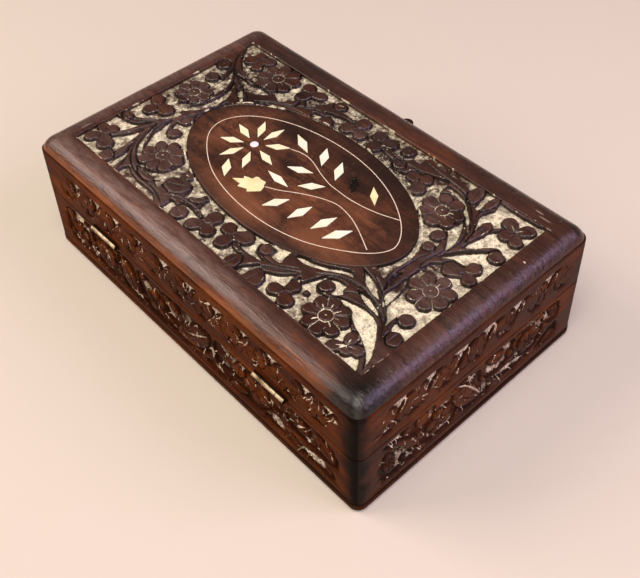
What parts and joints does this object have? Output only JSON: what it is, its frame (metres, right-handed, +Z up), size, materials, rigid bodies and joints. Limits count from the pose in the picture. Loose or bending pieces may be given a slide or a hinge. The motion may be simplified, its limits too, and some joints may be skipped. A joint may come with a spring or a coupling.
{
  "type": "trinket box",
  "caption": "Rectangular carved hardwood trinket box with a hinged lid, a sunk carved field and an oval medallion inlaid with bone and wire.",
  "frame": {"origin": "middle of the underside of the bottom board, on the surface that the box stands on", "axes": "+X along the long sides, +Y towards the hinges at the back, -Y towards the front with the thumb tab, +Z up"},
  "size_m": [0.203, 0.1346, 0.0635],
  "materials": {
    "carved_wood": "dark red-brown sheesham, oiled and worn to a soft polish",
    "inlay_bone": "polished bone, slightly yellowed",
    "inlay_pearl": "white shell disc",
    "inlay_wire": "fine flat wire, rubbed down flush",
    "hinge_brass": "dull aged brass",
    "felt_lining": "short-napped felt"
  },
  "bodies": {
    "base": {"base_back_wall": "carved_wood", "base_bottom_board": "carved_wood", "base_front_wall": "carved_wood", "base_left_wall": "carved_wood", "base_lining": "felt_lining", "base_right_wall": "carved_wood", "hinge_left_base_leaf": "hinge_brass", "hinge_left_base_nail_1": "hinge_brass", "hinge_left_base_nail_2": "hinge_brass", "hinge_left_pin": "hinge_brass", "hinge_right_base_leaf": "hinge_brass", "hinge_right_base_nail_1": "hinge_brass", "hinge_right_base_nail_2": "hinge_brass", "hinge_right_pin": "hinge_brass"},
    "lid": {"hinge_left_lid_leaf": "hinge_brass", "hinge_left_lid_nail_1": "hinge_brass", "hinge_left_lid_nail_2": "hinge_brass", "hinge_right_lid_leaf": "hinge_brass", "hinge_right_lid_nail_1": "hinge_brass", "hinge_right_lid_nail_2": "hinge_brass", "inlay_flower_centre": "inlay_pearl", "inlay_flower_leaf_1": "inlay_bone", "inlay_flower_leaf_2": "inlay_bone", "inlay_flower_leaf_3": "inlay_bone", "inlay_flower_leaf_4": "inlay_bone", "inlay_flower_stem": "inlay_wire", "inlay_oval_wire": "inlay_wire", "inlay_petal_1": "inlay_bone", "inlay_petal_2": "inlay_bone", "inlay_petal_3": "inlay_bone", "inlay_petal_4": "inlay_bone", "inlay_petal_5": "inlay_bone", "inlay_petal_6": "inlay_bone", "inlay_petal_7": "inlay_bone", "inlay_petal_8": "inlay_bone", "inlay_scattered_leaf_1": "inlay_bone", "inlay_scattered_leaf_2": "inlay_bone", "inlay_scattered_leaf_3": "inlay_bone", "inlay_scattered_leaf_4": "inlay_bone", "inlay_sprig_leaf_1": "inlay_bone", "inlay_sprig_leaf_2": "inlay_bone", "inlay_sprig_leaf_3": "inlay_bone", "inlay_sprig_leaf_4": "inlay_bone", "inlay_sprig_stem": "inlay_wire", "inlay_toothed_leaf": "inlay_bone", "lid_back_rail": "carved_wood", "lid_front_rail": "carved_wood", "lid_left_rail": "carved_wood", "lid_right_rail": "carved_wood", "lid_top_board": "carved_wood", "thumb_tab": "carved_wood"}
  },
  "joints": [
    {"name": "lid_hinge", "type": "hinge", "parent": "base", "child": "lid", "pos_m": [0, 0.06475, 0.0345], "axis": [-1, 0, 0], "range_deg": [0, 180]}
  ]
}
